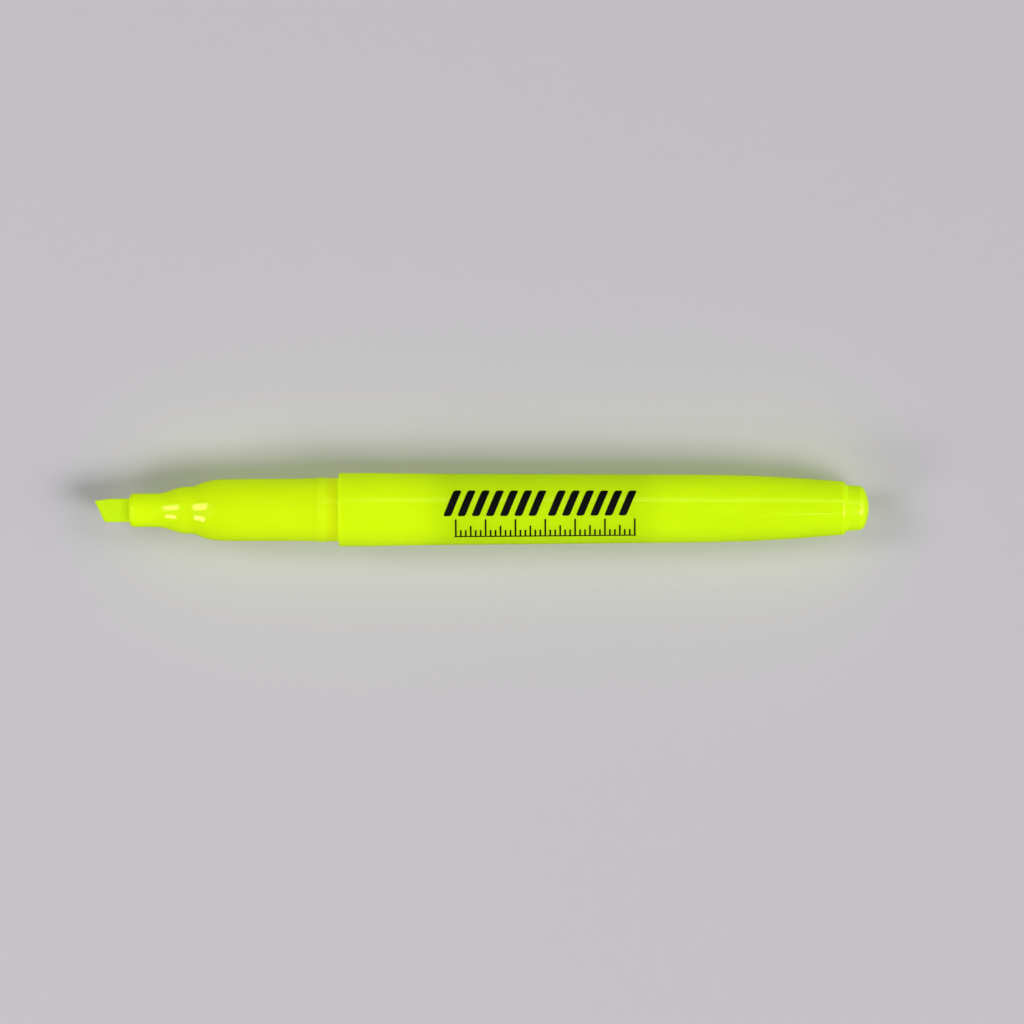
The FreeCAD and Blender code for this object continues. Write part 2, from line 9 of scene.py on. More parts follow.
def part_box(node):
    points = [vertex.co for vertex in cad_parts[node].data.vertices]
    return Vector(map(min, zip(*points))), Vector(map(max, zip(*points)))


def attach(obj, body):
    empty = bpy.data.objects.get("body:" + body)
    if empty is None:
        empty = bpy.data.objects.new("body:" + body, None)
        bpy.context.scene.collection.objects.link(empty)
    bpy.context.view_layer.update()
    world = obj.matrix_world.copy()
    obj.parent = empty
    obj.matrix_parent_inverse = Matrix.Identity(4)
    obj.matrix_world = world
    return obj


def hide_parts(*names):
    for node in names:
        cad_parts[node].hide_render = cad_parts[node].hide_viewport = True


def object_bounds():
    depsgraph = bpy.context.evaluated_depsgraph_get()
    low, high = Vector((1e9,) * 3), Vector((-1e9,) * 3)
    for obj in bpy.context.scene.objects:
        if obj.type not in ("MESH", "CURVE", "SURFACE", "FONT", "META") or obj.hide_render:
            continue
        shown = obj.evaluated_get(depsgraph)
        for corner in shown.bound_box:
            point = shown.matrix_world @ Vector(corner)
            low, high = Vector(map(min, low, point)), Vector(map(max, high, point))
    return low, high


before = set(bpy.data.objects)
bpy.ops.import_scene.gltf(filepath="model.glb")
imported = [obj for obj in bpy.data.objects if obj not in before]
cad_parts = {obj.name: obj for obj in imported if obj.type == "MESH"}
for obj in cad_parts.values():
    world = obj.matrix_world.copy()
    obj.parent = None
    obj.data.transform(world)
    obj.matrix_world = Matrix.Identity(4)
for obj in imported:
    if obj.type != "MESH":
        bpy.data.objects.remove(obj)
CAD_LO, CAD_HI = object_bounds()

MM = 0.001

# --------------------------------------------------------------- where it is
# u runs along the pen in millimetres from the barrel's front face, towards
# the end plug. s runs along the cap from its mouth, towards its closed end.
b_lo, b_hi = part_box("barrel")
c_lo, c_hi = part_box("cap_shell")
PEN_X = b_lo.x
AXIS_Y = (b_lo.y + b_hi.y) / 2
AXIS_Z = (b_lo.z + b_hi.z) / 2
CAP_X = c_hi.x
FLOOR_Z = CAD_LO.z


def pen_point(u, y, z):
    return Vector((PEN_X + u * MM, AXIS_Y + y * MM, AXIS_Z + z * MM))


def cap_point(s, y, z):
    return Vector((CAP_X - s * MM, AXIS_Y + y * MM, AXIS_Z + z * MM))


# ------------------------------------------------------------------ outlines
def spline(points, step):
    """Natural cubic spline r(u) through the points, sampled about every step."""
    x = np.array([p[0] for p in points], float)
    y = np.array([p[1] for p in points], float)
    n = len(x)
    h = np.diff(x)
    A = np.zeros((n, n))
    b = np.zeros(n)
    A[0, 0] = A[-1, -1] = 1
    for i in range(1, n - 1):
        A[i, i - 1], A[i, i], A[i, i + 1] = h[i - 1], 2 * (h[i - 1] + h[i]), h[i]
        b[i] = 6 * ((y[i + 1] - y[i]) / h[i] - (y[i] - y[i - 1]) / h[i - 1])
    m = np.linalg.solve(A, b)
    count = max(2, int(round((x[-1] - x[0]) / step)) + 1)
    out = []
    for t in np.linspace(x[0], x[-1], count):
        i = min(n - 2, max(0, int(np.searchsorted(x, t) - 1)))
        a, c = x[i + 1] - t, t - x[i]
        v = (m[i] * a**3 + m[i + 1] * c**3) / (6 * h[i])
        v += (y[i] / h[i] - m[i] * h[i] / 6) * a + (y[i + 1] / h[i] - m[i + 1] * h[i] / 6) * c
        out.append((float(t), float(v)))
    return out


def hermite(points, step):
    """Monotone cubic through the points: no overshoot at a bead or a collar."""
    x = np.array([p[0] for p in points], float)
    y = np.array([p[1] for p in points], float)
    h = np.diff(x)
    d = np.diff(y) / h
    m = np.zeros(len(x))
    m[0], m[-1] = d[0], d[-1]
    for i in range(1, len(x) - 1):
        if d[i - 1] * d[i] > 0:
            w1, w2 = 2 * h[i] + h[i - 1], h[i] + 2 * h[i - 1]
            m[i] = (w1 + w2) / (w1 / d[i - 1] + w2 / d[i])
    count = max(2, int(round((x[-1] - x[0]) / step)) + 1)
    out = []
    for t in np.linspace(x[0], x[-1], count):
        i = min(len(h) - 1, max(0, int(np.searchsorted(x, t) - 1)))
        k = (t - x[i]) / h[i]
        v = (
            (2 * k**3 - 3 * k**2 + 1) * y[i]
            + (k**3 - 2 * k**2 + k) * h[i] * m[i]
            + (-2 * k**3 + 3 * k**2) * y[i + 1]
            + (k**3 - k**2) * h[i] * m[i + 1]
        )
        out.append((float(t), float(v)))
    return out


def rounding(cx, cr, radius, start, end, count=7):
    """Points of an arc about (cx, cr), from one angle to another, in degrees."""
    out = []
    for i in range(count):
        a = math.radians(start + (end - start) * i / (count - 1))
        out.append((cx + radius * math.cos(a), cr + radius * math.sin(a)))
    return out


def clean(profile, gap=0.004):
    out = []
    for p in profile:
        if not out or math.dist(p, out[-1]) > gap:
            out.append(p)
    while len(out) > 2 and math.dist(out[0], out[-1]) <= gap:
        out.pop()
    return out


# ---------------------------------------------------------------- mesh maker
def finish_mesh(bm, name, angle=28.0):
    bmesh.ops.recalc_face_normals(bm, faces=bm.faces)
    mesh = bpy.data.meshes.new(name)
    bm.to_mesh(mesh)
    bm.free()
    for p in mesh.polygons:
        p.use_smooth = True
    mesh.set_sharp_from_angle(angle=math.radians(angle))
    obj = bpy.data.objects.new(name, mesh)
    bpy.context.scene.collection.objects.link(obj)
    return obj


def lathe_bm(profile, place, segments=160, closed=True, wobble=None):
    """Turns a profile of (u, r) points about the axis. place(u, y, z) gives the
    point in the frame. Points on the axis become one vertex each."""
    profile = clean(profile)
    bm = bmesh.new()
    rings = []
    for u, r in profile:
        if r < 1e-5:
            rings.append([bm.verts.new(place(u, 0, 0))])
            continue
        ring = []
        for k in range(segments):
            a = 2 * math.pi * k / segments
            rr = r + (wobble(u, r, a) if wobble else 0.0)
            ring.append(bm.verts.new(place(u, rr * math.cos(a), rr * math.sin(a))))
        rings.append(ring)
    pairs = list(zip(rings, rings[1:]))
    if closed:
        pairs.append((rings[-1], rings[0]))
    for a, b in pairs:
        if len(a) == 1 and len(b) == 1:
            continue
        for k in range(segments):
            j = (k + 1) % segments
            if len(a) == 1:
                bm.faces.new((a[0], b[j], b[k]))
            elif len(b) == 1:
                bm.faces.new((a[k], a[j], b[0]))
            else:
                bm.faces.new((a[k], a[j], b[j], b[k]))
    return bm


def lathe(name, profile, place, segments=160, closed=True, wobble=None, angle=28.0):
    return finish_mesh(lathe_bm(profile, place, segments, closed, wobble), name, angle)


# ------------------------------------------------------------------ materials
def srgb(r, g, b):
    def lin(c):
        c /= 255.0
        return c / 12.92 if c <= 0.04045 else ((c + 0.055) / 1.055) ** 2.4

    return (lin(r), lin(g), lin(b), 1.0)


class Nodes:
    """A small helper for node trees."""

    def __init__(self, name):
        self.mat = bpy.data.materials.new(name)
        self.mat.use_nodes = True
        self.tree = self.mat.node_tree
        self.tree.nodes.clear()
        self.out = self.add("ShaderNodeOutputMaterial")
        self.bsdf = self.add("ShaderNodeBsdfPrincipled")
        self.link(self.bsdf.outputs[0], self.out.inputs[0])
        self.coords = self.add("ShaderNodeTexCoord").outputs["Object"]

    def add(self, kind, **values):
        node = self.tree.nodes.new(kind)
        for key, value in values.items():
            setattr(node, key, value)
        return node

    def link(self, a, b):
        self.tree.links.new(a, b)

    def put(self, **values):
        for key, value in values.items():
            self.bsdf.inputs[key.replace("_", " ")].default_value = value

    def mapped(self, scale):
        node = self.add("ShaderNodeMapping")
        node.inputs["Scale"].default_value = scale
        self.link(self.coords, node.inputs["Vector"])
        return node.outputs[0]

    def noise(self, scale=(1, 1, 1), size=10.0, detail=3.0, rough=0.55, distortion=0.0):
        node = self.add("ShaderNodeTexNoise")
        node.inputs["Scale"].default_value = size
        node.inputs["Detail"].default_value = detail
        node.inputs["Roughness"].default_value = rough
        node.inputs["Distortion"].default_value = distortion
        self.link(self.mapped(scale), node.inputs["Vector"])
        return node.outputs["Fac"]

    def ramp(self, fac, stops, mode="LINEAR"):
        node = self.add("ShaderNodeValToRGB")
        node.color_ramp.interpolation = mode
        ramp = node.color_ramp
        while len(ramp.elements) < len(stops):
            ramp.elements.new(0.5)
        for e, (pos, col) in zip(ramp.elements, stops):
            e.position = pos
            e.color = col if len(col) == 4 else (*col, 1.0)
        self.link(fac, node.inputs["Fac"])
        return node.outputs["Color"]

    def span(self, value, low, high, out_low, out_high, smooth=False):
        node = self.add("ShaderNodeMapRange")
        if smooth:
            node.interpolation_type = "SMOOTHSTEP"
        node.inputs["From Min"].default_value = low
        node.inputs["From Max"].default_value = high
        node.inputs["To Min"].default_value = out_low
        node.inputs["To Max"].default_value = out_high
        self.link(value, node.inputs["Value"])
        return node.outputs["Result"]

    def math(self, how, a, b=None):
        node = self.add("ShaderNodeMath", operation=how)
        for socket, value in zip(node.inputs, (a, b)):
            if value is None:
                continue
            if isinstance(value, (int, float)):
                socket.default_value = value
            else:
                self.link(value, socket)
        return node.outputs[0]

    def mix(self, fac, a, b, how="MIX"):
        node = self.add("ShaderNodeMix", data_type="RGBA", blend_type=how)
        for socket, value in ((node.inputs[0], fac), (node.inputs[6], a), (node.inputs[7], b)):
            if isinstance(value, (int, float)):
                socket.default_value = value
            elif isinstance(value, tuple):
                socket.default_value = value
            else:
                self.link(value, socket)
        return node.outputs[2]

    def bump(self, height, strength, distance, normal=None):
        node = self.add("ShaderNodeBump")
        node.inputs["Strength"].default_value = strength
        node.inputs["Distance"].default_value = distance
        self.link(height, node.inputs["Height"])
        if normal is not None:
            self.link(normal, node.inputs["Normal"])
        return node.outputs[0]

    def axis(self, index):
        """One coordinate of the surface point in the frame, in millimetres."""
        node = self.add("ShaderNodeSeparateXYZ")
        self.link(self.coords, node.inputs[0])
        return self.math("MULTIPLY", node.outputs[index], 1000.0)


# GLOW is the colour of a painted glow that stands in for the fluorescence; it also flattens the shading.
NEON = (0.434, 0.624, 0.0035, 1.0)
GLOW = (0.60, 0.90, 0.002, 1.0)


def neon_plastic(name, base=NEON, glow=0.10, rough=0.2, tone=1.0, grain=1.0, painted_light_zones=()):
    """Fluorescent yellow injection-moulded polypropylene: a clear gloss skin
    over a slightly milky, saturated body, with faint flow clouding, fine
    handling marks in the gloss and a very soft moulded unevenness. The
    emission is a painted glow that stands in for the fluorescence and also
    flattens the shading. Each zone tints a stretch of the pen with painted
    light or shade: (rise from, to, fall from, to, tint), in millimetres
    along it, on the upper side."""
    n = Nodes(name)
    cloud = n.noise((60, 140, 140), 1.0, 3.0, 0.5)
    dark = tuple(c * 0.955 * tone for c in base[:3]) + (1.0,)
    light = tuple(min(1.0, c * 1.03 * tone) for c in base[:3]) + (1.0,)
    body = n.ramp(cloud, [(0.32, dark), (0.68, light)])
    painted_glow_color = None
    if painted_light_zones:
        along = n.math("SUBTRACT", n.axis(0), PEN_X / MM)
        upper = n.span(n.axis(2), AXIS_Z / MM - 4.0, AXIS_Z / MM - 0.5, 0.0, 1.0, True)
        painted_glow_color = GLOW
        # each zone multiplies painted light or shade into the body colour and the painted glow
        for rise0, rise1, fall0, fall1, tint in painted_light_zones:
            inside = n.math("MULTIPLY", n.span(along, rise0, rise1, 0.0, 1.0, True), n.span(along, fall0, fall1, 1.0, 0.0, True))
            inside = n.math("MULTIPLY", inside, upper)
            body = n.mix(inside, body, tint, "MULTIPLY")
            painted_glow_color = n.mix(inside, painted_glow_color, tint, "MULTIPLY")
        n.link(painted_glow_color, n.bsdf.inputs["Emission Color"])
    n.link(body, n.bsdf.inputs["Base Color"])
    # gloss: smears and fine scuffs along the pen
    smear = n.noise((25, 160, 160), 1.0, 4.0, 0.6, 0.4)
    scuff = n.noise((120, 3200, 3200), 1.0, 2.0, 0.7)
    scuffed = n.span(scuff, 0.62, 0.80, 0.0, 0.10)
    n.link(
        n.math("ADD", n.span(smear, 0.35, 0.7, rough - 0.04, rough + 0.06), scuffed),
        n.bsdf.inputs["Roughness"],
    )
    fine = n.noise((1, 1, 1), 5200.0, 2.0, 0.5)
    soft = n.noise((70, 170, 170), 1.0, 1.0, 0.4)
    skin = n.bump(fine, 0.05 * grain, 0.00002)
    n.link(n.bump(soft, 0.05 * grain, 0.00020, skin), n.bsdf.inputs["Normal"])
    n.put(
        Metallic=0.0,
        IOR=1.49,
        Specular_IOR_Level=0.85,
        Specular_Tint=(1.0, 0.97, 0.34, 1.0),
        Subsurface_Weight=0.55,
        Subsurface_Scale=0.0020,
        Subsurface_Radius=(1.0, 1.0, 0.12),
        Emission_Strength=glow,
    )
    if painted_glow_color is None:
        n.put(Emission_Color=GLOW)
    return n.mat


def ink_black():
    """Screen-printed black: satin, with a slightly uneven film."""
    n = Nodes("print_black")
    spot = n.noise((1, 1, 1), 2600.0, 3.0, 0.6)
    n.link(n.ramp(spot, [(0.3, (0.0008, 0.0010, 0.0006)), (0.75, (0.0024, 0.0030, 0.0014))]), n.bsdf.inputs["Base Color"])
    n.link(n.span(spot, 0.3, 0.7, 0.50, 0.66), n.bsdf.inputs["Roughness"])
    n.link(n.bump(spot, 0.10, 0.00002), n.bsdf.inputs["Normal"])
    n.put(IOR=1.5, Specular_IOR_Level=0.10)
    return n.mat


def nib_fibre():
    """Bonded fibre, wet with ink: streaks along the nib, a little greener and
    duller than the plastic. Painted shade makes it darker and warmer towards
    the mouth, and the emission is a painted glow that stands in for the
    fluorescence."""
    n = Nodes("nib_bonded_fibre")
    streak = n.noise((420, 5200, 5200), 1.0, 4.0, 0.65, 0.2)
    wide = n.noise((260, 900, 900), 1.0, 2.0, 0.5)
    along = n.axis(0)
    base = n.ramp(streak, [(0.28, (0.375, 0.560, 0.0026)), (0.50, (0.405, 0.60, 0.0028)), (0.74, (0.430, 0.635, 0.0035))])
    soaked = n.mix(n.span(wide, 0.35, 0.7, 0.0, 0.30), base, (0.36, 0.565, 0.0026, 1.0))
    mouth = (PEN_X / MM) - 34.2
    # Behind the ground facet the shank is darker: partly the unground fibre, partly painted shade for the light that
    # the facet catches.
    ground = n.span(along, mouth - 1.36, mouth - 1.26, 0.0, 0.65)
    shank = n.mix(ground, soaked, (0.34, 0.475, 0.003, 1.0))
    # Painted shade: darker and warmer towards the mouth, where the nose shades the shank.
    near = n.span(along, mouth - 1.1, mouth + 0.3, 0.0, 0.6, True)
    n.link(n.mix(near, shank, (0.42, 0.46, 0.004, 1.0)), n.bsdf.inputs["Base Color"])
    n.link(n.span(streak, 0.3, 0.7, 0.40, 0.60), n.bsdf.inputs["Roughness"])
    fuzz = n.noise((900, 9000, 9000), 1.0, 2.0, 0.6)
    low = n.bump(fuzz, 0.16, 0.00002)
    n.link(n.bump(streak, 0.25, 0.00004, low), n.bsdf.inputs["Normal"])
    # The emission below is a painted glow that stands in for the fluorescence.
    n.put(
        IOR=1.45,
        Specular_IOR_Level=0.18,
        Subsurface_Weight=0.4,
        Subsurface_Scale=0.0007,
        Subsurface_Radius=(1.0, 1.0, 0.1),
        Specular_Tint=(1.0, 0.97, 0.4, 1.0),
        Emission_Color=(0.58, 0.90, 0.002, 1.0),
        Emission_Strength=0.375,
    )
    return n.mat


def soaked_fibre():
    """The reservoir's fibre bundle."""
    n = Nodes("reservoir_fibre")
    streak = n.noise((90, 4200, 4200), 1.0, 4.0, 0.65)
    n.link(n.ramp(streak, [(0.3, (0.42, 0.66, 0.01)), (0.7, (0.66, 0.93, 0.03))]), n.bsdf.inputs["Base Color"])
    n.link(n.span(streak, 0.3, 0.7, 0.6, 0.85), n.bsdf.inputs["Roughness"])
    n.link(n.bump(streak, 0.5, 0.00006), n.bsdf.inputs["Normal"])
    return n.mat


def clear_film():
    """The thin sleeve round the reservoir, with its lengthwise creases."""
    n = Nodes("reservoir_film")
    crease = n.noise((30, 1400, 1400), 1.0, 3.0, 0.6, 0.5)
    n.link(n.ramp(crease, [(0.3, (0.80, 0.90, 0.30)), (0.7, (0.90, 0.95, 0.55))]), n.bsdf.inputs["Base Color"])
    n.link(n.span(crease, 0.3, 0.7, 0.12, 0.26), n.bsdf.inputs["Roughness"])
    n.link(n.bump(crease, 0.25, 0.00005), n.bsdf.inputs["Normal"])
    n.put(IOR=1.49, Transmission_Weight=0.5)
    return n.mat


def seal_plastic():
    """Natural polyethylene of the inner cap: milky, satin, with turned rings."""
    n = Nodes("seal_polyethylene")
    cloud = n.noise((220, 220, 220), 1.0, 3.0, 0.5)
    n.link(n.ramp(cloud, [(0.3, (0.66, 0.70, 0.52)), (0.7, (0.76, 0.80, 0.62))]), n.bsdf.inputs["Base Color"])
    rings = n.noise((4200, 40, 40), 1.0, 2.0, 0.5)
    n.link(n.span(cloud, 0.3, 0.7, 0.30, 0.42), n.bsdf.inputs["Roughness"])
    n.link(n.bump(rings, 0.15, 0.00003), n.bsdf.inputs["Normal"])
    n.put(IOR=1.5, Subsurface_Weight=0.35, Subsurface_Scale=0.002, Subsurface_Radius=(1.0, 0.95, 0.8))
    return n.mat


def table_top():
    """Smooth pale grey-lilac table. Far from the pen it turns into an evenly
    lit sheet of the backdrop's colour, so that no edge or dark band shows."""
    n = Nodes("table_top")
    broad = n.noise((3, 3, 3), 1.0, 2.0, 0.5)
    tooth = n.noise((1, 1, 1), 900.0, 3.0, 0.6)
    base = n.ramp(broad, [(0.3, (0.497, 0.486, 0.507)), (0.7, (0.512, 0.500, 0.522))])
    n.link(n.mix(n.span(tooth, 0.35, 0.65, 0.0, 0.03), base, (0.455, 0.447, 0.470, 1.0)), n.bsdf.inputs["Base Color"])
    n.link(n.span(tooth, 0.3, 0.7, 0.62, 0.74), n.bsdf.inputs["Roughness"])
    n.link(n.bump(tooth, 0.08, 0.00008), n.bsdf.inputs["Normal"])
    n.put(Specular_IOR_Level=0.25)
    flat = n.add("ShaderNodeVectorMath", operation="MULTIPLY")
    flat.inputs[1].default_value = (1.0, 1.0, 0.0)
    n.link(n.coords, flat.inputs[0])
    away = n.add("ShaderNodeVectorMath", operation="LENGTH")
    n.link(flat.outputs[0], away.inputs[0])
    far = n.span(away.outputs["Value"], 0.34, 0.85, 0.0, 1.0, True)
    sheet = n.add("ShaderNodeEmission")
    sheet.inputs["Color"].default_value = (0.985, 0.975, 1.0, 1.0)
    sheet.inputs["Strength"].default_value = 0.53
    blend = n.add("ShaderNodeMixShader")
    n.link(far, blend.inputs[0])
    n.link(n.bsdf.outputs[0], blend.inputs[1])
    n.link(sheet.outputs[0], blend.inputs[2])
    n.link(blend.outputs[0], n.out.inputs[0])
    return n.mat


# Painted light and shade on the barrel's upper side: painted a little
# lighter ahead of the print, and painted darker and greener round it, a
# painted shade that stands in for the ink shading the translucent wall.
M_BARREL = neon_plastic(
    "neon_barrel", glow=0.418, rough=0.125,
    painted_light_zones=[(-1.0, -0.5, 9.0, 17.5, (1.07, 1.03, 1.0, 1.0)), (13.2, 19.0, 47.5, 54.0, (0.86, 0.885, 1.0, 1.0))],
)
# Painted light and shade on the front section's upper side: a lighter, whiter painted highlight on the cap bead, and
# a warmer painted shade on the neck just ahead of the barrel's step.
M_FRONT = neon_plastic(
    "neon_front", base=(0.477, 0.628, 0.0035, 1.0), glow=0.418, rough=0.14,
    painted_light_zones=[(-3.8, -3.2, -2.4, -1.9, (1.04, 1.03, 1.6, 1.0)), (-2.6, -0.8, 1.0, 1.4, (1.06, 0.945, 1.0, 1.0))],
)
M_PLUG = neon_plastic("neon_plug", glow=0.418, rough=0.25)
M_CAP = neon_plastic("neon_cap", base=(0.425, 0.620, 0.0035, 1.0), glow=0.38, rough=0.15)
M_INK = ink_black()
M_NIB = nib_fibre()
M_SEAL = seal_plastic()

# --------------------------------------------------------------------- barrel
BODY = [
    (5.4, 6.0), (9.3, 5.925), (14.0, 5.858), (24.0, 5.785), (37.0, 5.70), (50.0, 5.60),
    (60.0, 5.515), (66.0, 5.385), (71.0, 5.145), (75.5, 4.875), (79.5, 4.575), (81.7, 4.40),
]
body_line = hermite(BODY, 0.55)


def barrel_radius(u):
    if u <= 5.4:
        return 6.0
    xs = [p[0] for p in body_line]
    rs = [p[1] for p in body_line]
    return float(np.interp(u, xs, rs))


outer = [(0.0, 4.98), (0.0, 5.3)]
outer += [(0.0, 5.82)] + rounding(0.17, 5.83, 0.17, 180, 90, 8)
outer += [(1.2, 6.0), (2.4, 6.0), (3.6, 6.0), (4.8, 6.0)]
outer += body_line
outer += rounding(81.92, 3.80, 0.62, 80, 20, 9)
outer += [(82.66, 3.88), (82.76, 3.78), (82.80, 3.70), (82.80, 3.02)]
inner = [
    (82.5, 3.0), (76.0, 3.0), (76.0, 3.5), (70.0, 3.85), (62.0, 4.3), (45.0, 4.42), (25.0, 4.58), (9.0, 4.7), (9.0, 4.9), (0.4, 4.9),
]
barrel = lathe("barrel_shell", outer + inner, pen_point, 192)
barrel.data.materials.append(M_BARREL)
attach(barrel, "pen")
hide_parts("barrel")

# -------------------------------------------------------------- front section
nose = [(-34.15, 1.96)]
nose += rounding(-33.40, 1.99, 0.75, 180, 90, 9)
nose += hermite(
    [
        (-33.1, 2.74), (-31.0, 2.75), (-29.5, 2.762), (-29.15, 2.780), (-28.8, 2.830), (-28.4, 2.917), (-28.0, 3.032), (-27.6, 3.172),
        (-27.2, 3.32), (-26.8, 3.462), (-26.4, 3.588), (-26.0, 3.688), (-25.6, 3.76), (-25.2, 3.803), (-24.8, 3.824), (-24.3, 3.835),
    ],
    0.12,
)
# the short collar runs into the second flare
nose += hermite(
    [
        (-24.2, 3.840), (-23.95, 3.862), (-23.7, 3.905), (-23.5, 3.955), (-23.3, 4.018), (-23.1, 4.100), (-22.85, 4.210), (-22.49, 4.370),
        (-22.0, 4.548), (-21.65, 4.655), (-21.4, 4.718), (-21.19, 4.762),
        (-20.86, 4.825), (-20.54, 4.880), (-20.05, 4.945), (-19.4, 5.003), (-18.6, 5.035), (-16.0, 5.065), (-12.0, 5.08), (-8.0, 5.085),
        (-5.6, 5.12), (-4.1, 5.155), (-3.75, 5.16),
    ],
    0.12,
)
nose += hermite([(-3.62, 5.165), (-3.35, 5.19), (-3.05, 5.24), (-2.75, 5.268), (-2.45, 5.262), (-2.15, 5.225), (-1.85, 5.195)], 0.06)
nose += [(-1.6, 5.19), (-1.2, 5.192), (-0.5, 5.195), (-0.02, 5.195)]
nose += [(0.03, 5.17), (0.03, 4.87), (8.3, 4.87), (8.6, 4.6), (8.6, 3.7), (-15.5, 3.7), (-21.5, 2.55), (-21.5, 1.96)]
front = lathe("front_section_shell", nose, pen_point, 176)
front.data.materials.append(M_FRONT)
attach(front, "pen")
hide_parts("front_section")

# ------------------------------------------------------------------------ nib
NIB_W, NIB_T = 1.91, 1.55
TIP_TOP, TIP_LOW, FACET = -39.95, -38.22, -35.5
LAND = 0.36


def nib_half(u, back):
    """Half the nib's thickness at u, back millimetres behind the ground end."""
    half = NIB_T
    if u < FACET:
        k = (FACET - u) / (FACET - TIP_TOP)
        half = NIB_T + (LAND - NIB_T) * k
    # the edge of the ground end is worn to a narrow bevel
    bevel = 0.34
    if back < bevel:
        k = 1.0 - back / bevel
        half -= 0.25 * k ** 1.2
    return half


def make_nib():
    bm = bmesh.new()
    # the section's outline: y and z as shares of the half sizes, corners cut round
    outline = []
    corner = 0.42
    steps = 6
    for cy, cz, a0 in ((1, 1, 0), (-1, 1, 90), (-1, -1, 180), (1, -1, 270)):
        for k in range(steps + 1):
            a = math.radians(a0 + 90 * k / steps)
            outline.append((cy, cz, math.cos(a), math.sin(a)))
        # flats between the corners are divided for the fibres
        flat = 26 if a0 in (0, 180) else 12
        ny, nz = {0: (-1, 1), 90: (-1, -1), 180: (1, -1), 270: (1, 1)}[a0]
        for k in range(1, flat):
            outline.append(((cy, cz), (ny, nz), a0 + 90, k / flat))
    # distances back from the ground end, close together there
    backs, step = [0.0], 0.022
    while backs[-1] + step < 30.0:
        backs.append(backs[-1] + step)
        step = min(step * (1.09 if backs[-1] < 6.0 else 1.5), 0.11 if backs[-1] < 6.0 else 2.5)
    backs.append(30.65)
    loops = []
    for back in reversed(backs):
        ring = []
        for item in outline:
            if isinstance(item[0], tuple):
                (cy, cz), (ny, nz), a, k = item
                ca, sa = math.cos(math.radians(a)), math.sin(math.radians(a))
                y = (cy + (ny - cy) * k) * (NIB_W - corner) + corner * ca
                zc = cz + (nz - cz) * k
            else:
                cy, zc, ca, sa = item
                y = cy * (NIB_W - corner) + corner * ca
            end = TIP_LOW + (TIP_TOP - TIP_LOW) * (y + NIB_W) / (2 * NIB_W)
            # the long point is rounded off
            over = max(0.0, y - (NIB_W - 0.62)) / 0.62
            end += 0.10 * over ** 2.0
            under = max(0.0, -y - (NIB_W - 0.35)) / 0.35
            end += 0.10 * under ** 2
            u = end + (-9.2 - end) * back / backs[-1]
            half = nib_half(u, back)
            # towards the long point the upper side leans in
            if y > 0 and u < -37.2:
                y -= 0.34 * ((-37.2 - u) / 2.6) ** 1.15 * (y / NIB_W) ** 2
            rc = min(corner, half * 0.75)
            z = zc * (half - rc) + rc * sa
            fibre = noise.noise(Vector((u * 0.9, y * 9.0, z * 9.0))) * 0.010
            fibre += noise.noise(Vector((u * 2.5, y * 22.0, z * 22.0 + 7))) * 0.005
            if u > -33.0:
                fibre = min(fibre, 0.0)
            scale = 1.0 + fibre / max(0.6, math.hypot(y, z))
            ring.append(bm.verts.new(pen_point(u, y * scale, z * scale)))
        loops.append(ring)
    n = len(outline)
    for a, b in zip(loops, loops[1:]):
        for k in range(n):
            j = (k + 1) % n
            bm.faces.new((a[k], a[j], b[j], b[k]))
    tail = bm.faces.new(loops[0][::-1])
    tip = bm.faces.new(loops[-1])
    bmesh.ops.triangulate(bm, faces=[tip, tail])
    return finish_mesh(bm, "chisel_nib_fibre", 35)


nib = make_nib()
nib.data.materials.append(M_NIB)
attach(nib, "pen")
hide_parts("chisel_nib")

# ------------------------------------------------------------------- end plug
plug_line = [(82.82, 3.02), (82.82, 3.68)]
plug_line += hermite([(82.85, 3.735), (83.3, 3.725), (83.8, 3.695), (84.3, 3.655), (84.5, 3.638)], 0.2)
plug_line += rounding(84.6, 2.43, 1.20, 85, 27, 14)
plug_line += hermite([(85.73, 2.86), (85.93, 2.40), (86.10, 1.90), (86.23, 1.30), (86.29, 0.90)], 0.05)
plug_line += [(86.31, 0.84), (86.27, 0.78), (86.22, 0.74), (86.20, 0.55), (86.20, 0.0)]
plug_line += [(84.9, 0.0), (84.9, 1.9), (76.6, 2.1), (76.6, 2.62), (77.1, 2.97), (82.6, 2.97)]
plug = lathe("end_plug_shell", plug_line, pen_point, 144, closed=True)
plug.data.materials.append(M_PLUG)
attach(plug, "pen")
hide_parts("end_plug")

# ---------------------------------------------------------------------- print
# Two printed rows: bold slanted bars above a fine scale of ticks.
PRINT_LIFT, PRINT_SINK = 0.018, 0.03


def on_barrel(u, arc, lift):
    """A point at u, arc millimetres round from the top, towards +Y."""
    r = barrel_radius(u)
    a = arc / 5.66
    return pen_point(u, (r + lift) * math.sin(a), (r + lift) * math.cos(a))


